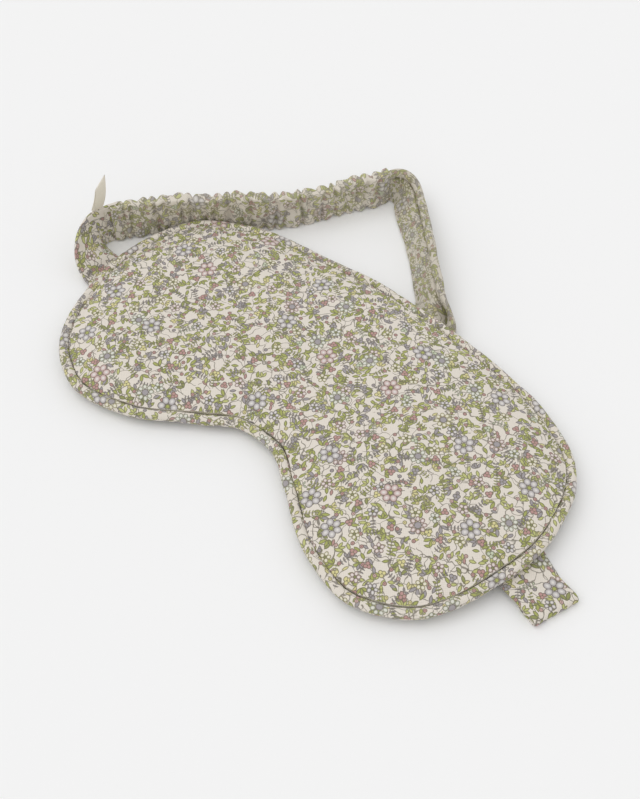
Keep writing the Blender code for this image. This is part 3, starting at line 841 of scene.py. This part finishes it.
FOLD_X, FOLD_Y, FOLD_FACING = 113.6, -12.2, math.radians(-17.8)
FOLD_R = STRAP_T / 2 + CLEARANCE
fold_way = np.array([math.cos(FOLD_FACING), math.sin(FOLD_FACING), 0])
fold_half = np.array([-fold_way[1], fold_way[0], 0]) * STRAP_W / 2
crease = np.array([FOLD_X, FOLD_Y, STRAP_T / 2 + FOLD_R])
near, far = root_edge(1, -8.6)
pairs = [(near, far)]
top = crease + np.array([0, 0, FOLD_R])
for share in (0.35, 0.75):
    level = near[2] + (top[2] - near[2]) * share * share * (3 - 2 * share)
    pair = [near + (top - fold_half - near) * share, far + (top + fold_half - far) * share]
    pair[0][2] = pair[1][2] = level
    pairs.append(tuple(pair))
for step in range(5):
    angle = math.pi * step / 4
    spot = crease + fold_way * FOLD_R * math.sin(angle) + np.array([0, 0, FOLD_R * math.cos(angle)])
    pairs.append((spot - fold_half, spot + fold_half))
for back in (1.5, 5.0):
    spot = crease - fold_way * back - np.array([0, 0, FOLD_R])
    pairs.append((spot - fold_half, spot + fold_half))
for (x, y), heading in zip(STRAP_UNDER[1:5], (153, 151, 134, 114)):
    spot, reach = np.array([x, y, STRAP_T / 2]), across(heading, 0) * STRAP_W / 2
    pairs.append((spot - reach, spot + reach))
OPEN_ROUTE = [
    (3.4, 54.5, 112, 22), (-0.6, 60.3, 128, 45), (-8.9, 68.8, 135, 50), (-22.3, 80.9, 137, 47),
    (-32.2, 88.4, 139, 40), (-39.3, 94.4, 146, 38), (-42.4, 97.4, 166, 68), (-45.0, 97.2, 222, 90),
]
CASING_ROUTE = [
    (-45.4, 96.4, 230, 91), (-47.2, 91.6, 239, 92), (-53.2, 82.2, 243, 93), (-58.2, 72.3, 242, 94),
    (-64.3, 61.6, 236, 92), (-71.3, 52.9, 227, 87), (-79.3, 46.0, 222, 88), (-87.8, 39.7, 224, 93),
    (-94.6, 32.4, 228, 92), (-100.6, 24.6, 230, 88), (-106.2, 16.6, 231, 84), (-111.0, 8.6, 237, 82),
]
pairs += [leaning(x, y, 0, heading, lean) for x, y, heading, lean in OPEN_ROUTE + [CASING_ROUTE[0]]]
lower, upper, at = smooth_edges(pairs, 12)
strap_length = at[-1]
CREASE_AT, CREASE_DEPTH, CREASE_HALF, BEAD = 13.1, 1.25, 0.5, 1.0
around_crease = CREASE_AT + np.array([-1.6, -1.1, -0.7, -0.35, 0, 0.35, 0.7, 1.1, 1.6])
section = flat_section(STRAP_W, STRAP_T, 30, around_crease)
inner = section[:, 1] < 0
flange = np.clip((section[:, 0] - CREASE_AT) / (STRAP_W - CREASE_AT), 0, 1)
section[inner, 1] -= BEAD * np.sin(math.pi * flange[inner]) ** 0.7
section[inner, 1] += CREASE_DEPTH * np.exp(-((section[inner, 0] - CREASE_AT) / CREASE_HALF) ** 2)
exit_middle = sum(leaning(*OPEN_ROUTE[0][:2], 0, *OPEN_ROUTE[0][2:])) / 2
exit_run = at[np.linalg.norm((lower + upper) / 2 - exit_middle, axis=1).argmin()]
NARROWED, HOLLOW_DEPTH = 0.20, 4.5


def smooth_step(t):
    t = np.clip(t, 0, 1)
    return t * t * (3 - 2 * t)


def strap_ripple(u, v, side):
    """Soft waves, the narrower folded stretch in the open, and the hollow where it comes out."""
    spots = np.column_stack([u.ravel(), v.ravel() * 0.5])
    soft = waves(41, spots, 13.0).reshape(u.shape) * 0.25 + waves(42, spots, 5.0).reshape(u.shape) * 0.08
    seen = smooth_step((u - exit_run + 6) / 12)
    hollow = HOLLOW_DEPTH * np.exp(-((u - exit_run - 1.0) / 4.0) ** 2 - ((v - CREASE_AT) / 2.3) ** 2)
    open_part = seen * (1 - smooth_step((u - strap_length + 14) / 12) * 0.5)
    slide = waves(43, spots, 9.0).reshape(u.shape) * 0.12 - v * NARROWED * open_part
    return soft * seen + hollow, slide


# the strap's print is mixed towards a darker olive, more so over its far part: painted shade, with the
# print's contrast lowered there
strap_cotton = cotton_material("strap_cotton", 0.08, tint(168, 162, 140), 0.42, 500.0)
flat_strap = band_piece("flat_strap", lower, upper, at, section, strap_ripple, strap_cotton, (410.0, 90.0))
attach(flat_strap, "mask")
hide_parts("side_strap")

# ----------------------------------------
# Gathered strap. A wider tube of the cotton is pushed up on a flat elastic, which draws it
# into close upright ruffles with scalloped edges. It stands on its edge beside the lobe.
# ----------------------------------------
CASING_T, CASING_STEP = 3.2, 0.3
RUFFLE, RUFFLE_DEPTH, ELASTIC_ROOM, GATHER_FULLNESS = 4.7, 2.1, 0.9, 1.5
TAB_START = (-111.5, 7.7, 240, 83)
stations = CASING_ROUTE + [TAB_START]
lower, upper, at = smooth_edges([leaning(x, y, 0, h, lean, CASING_T) for x, y, h, lean in stations], 12)
lower, upper, at = even_band(lower, upper, CASING_STEP)
casing_length = at[-1]


def ruffles(u, v, side):
    """Folds that run across the strap and lean and fade a little on their way."""
    pace = np.cumsum(1 + 0.5 * waves(51, u[:, :1], 9.0)) * CASING_STEP
    spots = np.column_stack([u.ravel(), v.ravel()])
    stray = waves(52, spots * (1, 0.6), 12.0).reshape(u.shape) * 1.3
    phase = (pace[:, None] + stray) / RUFFLE * math.pi + side * 0.6
    fold = 1 - np.abs(np.sin(phase)) ** 0.9
    depth = 0.8 + 0.5 * waves(53, spots, 11.0).reshape(u.shape)
    ends = np.clip(np.minimum(u, casing_length - u) / 5, 0.15, 1)
    small = waves(54, spots * (1, 0.4), 2.4).reshape(u.shape) * 0.22
    puff = np.maximum(-RUFFLE_DEPTH * fold * depth + 1.0 + small, ELASTIC_ROOM - CASING_T / 2)
    lift = side * puff * ends
    edge = (v / STRAP_W - 0.5) * 2
    swing = waves(55, u[:, :1], 24.0)[:, None] * 0.9
    slide = edge ** 3 * (-0.65 * fold * depth) * ends - (edge > 0) * edge ** 2 * (0.9 + swing)
    return lift, slide


gather_cotton = cotton_material("gathered_cotton", 0.30)
section = flat_section(STRAP_W, CASING_T, 22)
gathered = band_piece("gathered_strap", lower, upper, at, section, ruffles, gather_cotton, (700.0, 30.0))
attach(gathered, "mask")
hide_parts("gathered_casing")

# ----------------------------------------
# Left tab. A short end of pressed tube joins the gathered strap to the mask. It makes a
# banked turn on the table and is caught under the piping.
# ----------------------------------------
TAB_ROUTE = [
    (-109.8, 10.6, 0.0, 236, 82), (-111.5, 7.7, 0.0, 240, 83), (-112.7, 4.4, 0.0, 266, 84),
    (-112.0, 2.6, 0.2, 296, 79), (-109.4, 1.7, 0.5, 326, 63), (-106.5, 1.4, 0.8, 340, 38),
    (-104.0, 1.2, 0.9, 348, 19), (-101.0, 0.9, 0.9, 355, 2),
]
near, far = root_edge(-1, -7.9)
pairs = [leaning(x, y, z, h, lean) for x, y, z, h, lean in TAB_ROUTE] + [(far, near)]
lower, upper, at = smooth_edges(pairs, 16)
lower, upper, at = even_band(lower, upper, 0.5)


def tab_ripple(u, v, side):
    spots = np.column_stack([u.ravel(), v.ravel() * 0.35])
    soft = waves(61, spots, 6.0).reshape(u.shape) * 0.28 * (0.4 + v / STRAP_W)
    return soft, waves(62, spots, 7.0).reshape(u.shape) * 0.15


left_tab = band_piece("left_strap_tab", lower, upper, at, flat_section(STRAP_W, STRAP_T, 22), tab_ripple,
                      cotton_material("tab_cotton", 0.10), (920.0, -60.0))
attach(left_tab, "mask")
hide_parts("left_tab")

# ----------------------------------------
# Side label. A short end of plain woven tape is doubled and caught in the top edge of the
# left tab. It stands up, and its free fold has a slight twist. It carries no print or text.
# ----------------------------------------
hinge = next(j for j in frame["joints"] if j["name"] == "label_flex")
foot = (np.array(hinge["pos_m"]) - np.array(middle)) / MM
LABEL_H, LABEL_W, TAPE_T, LABEL_LEAN = 20.0, 5.0, 0.34, math.radians(21)
TWIST, SLANT, BOW, SUNK = math.radians(-20), 1.1, 0.9, 0.5
along = np.array(hinge["axis"])
lean_way = np.cross(along, (0, 0, 1))
rise = np.array([0, 0, math.cos(LABEL_LEAN)]) + lean_way * math.sin(LABEL_LEAN)
LABEL_STEPS, TAPE_SIDES = 34, 14
path_up = np.linspace(0, 1, LABEL_STEPS)
rings = []
for leg in (1, -1):
    for share in (path_up if leg == 1 else path_up[::-1][1:]):
        turn_here = TWIST * share ** 1.4
        wide = along * math.cos(turn_here) + lean_way * math.sin(turn_here)
        thick = np.cross(rise, wide)
        gap = leg * TAPE_T * 0.75 * math.sqrt(1 - share ** 6) * (1 + 0.5 * math.sin(math.pi * share))
        bowed = lean_way * BOW * math.sin(math.pi * share)
        spot = foot + rise * (LABEL_H * share - SUNK) + bowed + thick * gap
        rings.append((spot, wide, thick, leg, share))
grid = np.zeros((len(rings), TAPE_SIDES, 3))
for i, (spot, wide, thick, leg, share) in enumerate(rings):
    for j in range(TAPE_SIDES):
        angle = 2 * math.pi * j / TAPE_SIDES
        cx, cy = math.cos(angle), math.sin(angle)
        reach = LABEL_W / 2 * math.copysign(abs(cx) ** 0.5, cx)
        grid[i, j] = (spot + wide * reach + rise * reach * SLANT * share ** 3
                      + thick * leg * TAPE_T / 2 * math.copysign(abs(cy) ** 0.5, cy))
tape_run = np.arange(len(rings)) * LABEL_H / LABEL_STEPS
tape_round = np.linspace(0, 2 * LABEL_W, TAPE_SIDES + 1)
u, v = np.meshgrid(tape_run, tape_round, indexing="ij")
label_tape, tree, shader = new_material("label_tape", 0.75)
place = add_node(tree, "ShaderNodeUVMap", uv_map=CLOTH_MAP).outputs[0]
threads = use_group(tree, weave, Vector=place, Pitch=0.3)
# the weave's painted shade multiplies the tape's colour
wire(tree, shader.inputs["Base Color"],
     mix_colours(tree, 1.0, tint(250, 244, 230), threads["Shade"], "MULTIPLY"))
add_bump(tree, shader, threads["Height"], 0.4, 0.0001)
label = grid_piece("folded_label", grid, np.dstack([u, v]), label_tape)
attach(label, "label")
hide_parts("side_label")


# ----------------------------------------
# Hidden filling and cord. White wadding on both sides of a black lining, a twisted cord
# inside the piping, and the elastic inside the gathered strap keep their own solids.
# ----------------------------------------


def fibre_material(name, light, dark, scale, roughness, stretch=(1, 1, 1)):
    """A fibrous or knitted filling, on Object coordinates."""
    mat, tree, shader = new_material(name, roughness)
    place = add_node(tree, "ShaderNodeTexCoord").outputs["Object"]
    pulled = add_node(tree, "ShaderNodeMapping", {"Vector": place, "Scale": stretch}).outputs[0]
    fibres = add_node(tree, "ShaderNodeTexNoise", {"Scale": scale, "Detail": 6, "Vector": pulled}).outputs[0]
    wire(tree, shader.inputs["Base Color"], mix_colours(tree, fibres, dark, light))
    add_bump(tree, shader, fibres, 0.6, 0.0004)
    return mat


wadding = fibre_material("wadding_fibre", tint(244, 243, 240), tint(222, 220, 214), 900, 0.95)
for node, mat in (
    ("front_wadding", wadding), ("back_wadding", wadding),
    ("blackout_lining", fibre_material("blackout_weave", tint(48, 47, 50), tint(26, 26, 28), 2500, 0.8)),
    ("piping_cord", fibre_material("twisted_cord", tint(228, 222, 208), tint(196, 188, 170), 1400, 0.9)),
    ("strap_elastic", fibre_material("elastic_ribs", tint(240, 240, 238), tint(206, 205, 202), 700, 0.7,
                                     (1, 1, 6))),
):
    solid = frame["nodes"][node]
    solid.data.materials.clear()
    solid.data.materials.append(mat)

# ----------------------------------------
# Stitches. Matte cotton thread in short slanted stitches: a ring of them closes the edge of
# the mask, and one row crosses each place where the gathered strap is sewn on.
# ----------------------------------------
thread, tree, shader = new_material("sewing_thread", 0.6)
place = add_node(tree, "ShaderNodeTexCoord").outputs["Object"]
plies = add_node(tree, "ShaderNodeTexWave", {"Scale": 1500, "Vector": place},
                 bands_direction="DIAGONAL").outputs["Fac"]
wire(tree, shader.inputs["Base Color"], mix_colours(tree, plies, tint(186, 178, 156), tint(214, 207, 190)))

stitcher = bpy.data.node_groups.new("stitch_row", "GeometryNodeTree")
stitcher.interface.new_socket("Geometry", in_out="INPUT", socket_type="NodeSocketGeometry")
for label_text, value in (("Pitch", 0.0026), ("Stitch Length", 0.0019), ("Thread Radius", 0.00022)):
    size = stitcher.interface.new_socket(label_text, in_out="INPUT", socket_type="NodeSocketFloat")
    size.default_value = value
stitcher.interface.new_socket("Thread", in_out="INPUT", socket_type="NodeSocketMaterial")
stitcher.interface.new_socket("Geometry", in_out="OUTPUT", socket_type="NodeSocketGeometry")
source = stitcher.nodes.new("NodeGroupInput").outputs
result = stitcher.nodes.new("NodeGroupOutput").inputs


def sew(kind, inputs=None, **settings):
    """One node of the stitch maker."""
    return add_node(stitcher, kind, inputs, **settings).outputs[0]


line = sew("GeometryNodeMeshToCurve", {"Mesh": source["Geometry"]})
spaced = sew("GeometryNodeResampleCurve", {"Curve": line, "Length": source["Pitch"]}, mode="LENGTH")
facing = sew("FunctionNodeAlignRotationToVector", {"Vector": sew("GeometryNodeInputTangent")}, axis="X")
half_length = times(stitcher, source["Stitch Length"], 0.5)
start = sew("ShaderNodeCombineXYZ", {"X": times(stitcher, half_length, -1)})
stop = sew("ShaderNodeCombineXYZ", {"X": half_length})
bar = sew("GeometryNodeCurvePrimitiveLine", {"Start": start, "End": stop})
profile = sew("GeometryNodeCurvePrimitiveCircle", {"Resolution": 6, "Radius": source["Thread Radius"]})
stitch = sew("GeometryNodeCurveToMesh", {"Curve": bar, "Profile Curve": profile, "Fill Caps": True})
placed = sew("GeometryNodeInstanceOnPoints", {"Points": spaced, "Instance": stitch, "Rotation": facing})
solid = sew("GeometryNodeRealizeInstances", {"Geometry": placed})
threaded = sew("GeometryNodeSetMaterial", {"Geometry": solid, "Material": source["Thread"]})
wire(stitcher, result["Geometry"], threaded)


def stitch_row(name, points, replaced, **sizes):
    """Stitches along a line of millimetre points, as a plain mesh."""
    mesh = bpy.data.meshes.new(name + "_line")
    edges = [(i, i + 1) for i in range(len(points) - 1)]
    mesh.from_pydata([tuple(middle + Vector(p) * MM) for p in points], edges, [])
    row = bpy.data.objects.new(name, mesh)
    scene.collection.objects.link(row)
    maker = row.modifiers.new("stitches", "NODES")
    maker.node_group = stitcher
    inputs = {item.name: item.identifier for item in stitcher.interface.items_tree if item.in_out == "INPUT"}
    maker[inputs["Thread"]] = thread
    for label_text, value in sizes.items():
        maker[inputs[label_text.replace("_", " ")]] = value
    made = bpy.data.meshes.new_from_object(row.evaluated_get(bpy.context.evaluated_depsgraph_get()))
    row.modifiers.clear()
    row.data = made
    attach(row, "mask")
    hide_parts(replaced)


STITCH_INSET = 4.9
seam = ring + inward(ring) * STITCH_INSET
seam_line = np.column_stack([seam, middle_height(seam)])[::3]
stitch_row("edge_stitches", np.vstack([seam_line, seam_line[:1]]), "perimeter_seam")


def join_line(node):
    """The two ends of a CAD row of thread, from its box."""
    low_corner, high_corner = [(np.array(c) - np.array(middle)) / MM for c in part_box(node)]
    centre_point = (low_corner + high_corner) / 2
    return [(*centre_point[:2], z) for z in np.linspace(low_corner[2], high_corner[2], 4)]


for name, node in (("side_row_stitches", "side_join_stitches"), ("tab_row_stitches", "tab_join_stitches")):
    stitch_row(name, join_line(node), node, Pitch=0.0022, Stitch_Length=0.0015)
